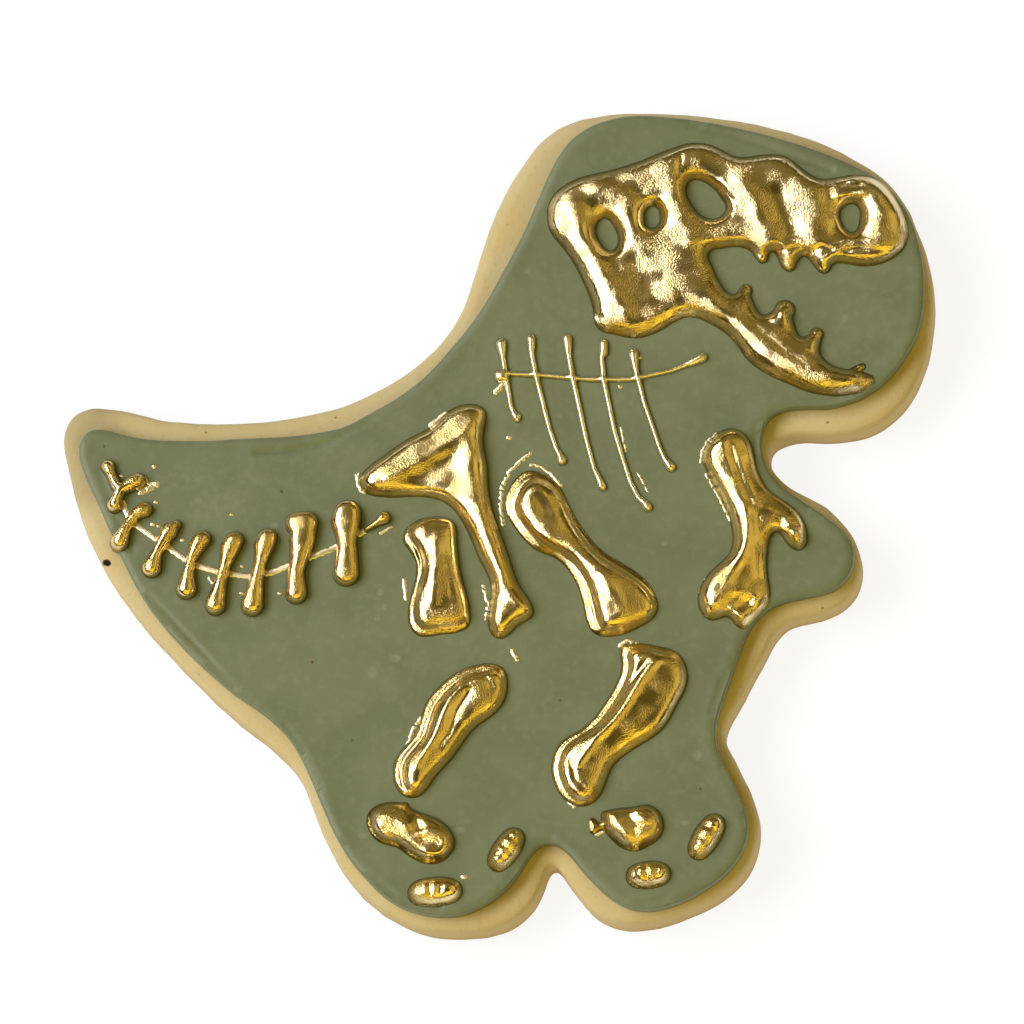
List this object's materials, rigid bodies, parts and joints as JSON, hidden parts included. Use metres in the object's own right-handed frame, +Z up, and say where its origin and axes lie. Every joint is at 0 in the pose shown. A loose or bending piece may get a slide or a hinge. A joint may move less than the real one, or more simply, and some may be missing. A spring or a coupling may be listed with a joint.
{
  "type": "decorated dinosaur cookie",
  "caption": "Flat sugar cookie cut as a striding dinosaur, flooded with sage green icing and decorated with piped gold bones.",
  "frame": {"origin": "middle of the bounding box, on the surface that the cookie lies on", "axes": "+X from the tail to the nose, +Y from the toes to the crown of the head, +Z up out of the iced face"},
  "size_m": [0.0998, 0.0954, 0.0106],
  "materials": {
    "baked_dough": "matt, fine dry crumb, browner round the side and underneath",
    "flooded_icing": "satin dried icing, smooth with a few pits and pale bubbles",
    "gold_paint": "metallic gold paint brushed over piped icing, bright with fine grain"
  },
  "bodies": {
    "root": {"biscuit": "baked_dough", "icing": "flooded_icing", "skull": "gold_paint", "ribs": "gold_paint", "tail_bones": "gold_paint", "pelvis": "gold_paint", "loin_bone": "gold_paint", "thigh_bone": "gold_paint", "arm_bone": "gold_paint", "rear_shin": "gold_paint", "rear_foot_bone": "gold_paint", "rear_toe_front": "gold_paint", "rear_toe_lower": "gold_paint", "front_shin": "gold_paint", "front_ankle_bone": "gold_paint", "front_toe_front": "gold_paint", "front_toe_lower": "gold_paint"}
  },
  "joints": []
}
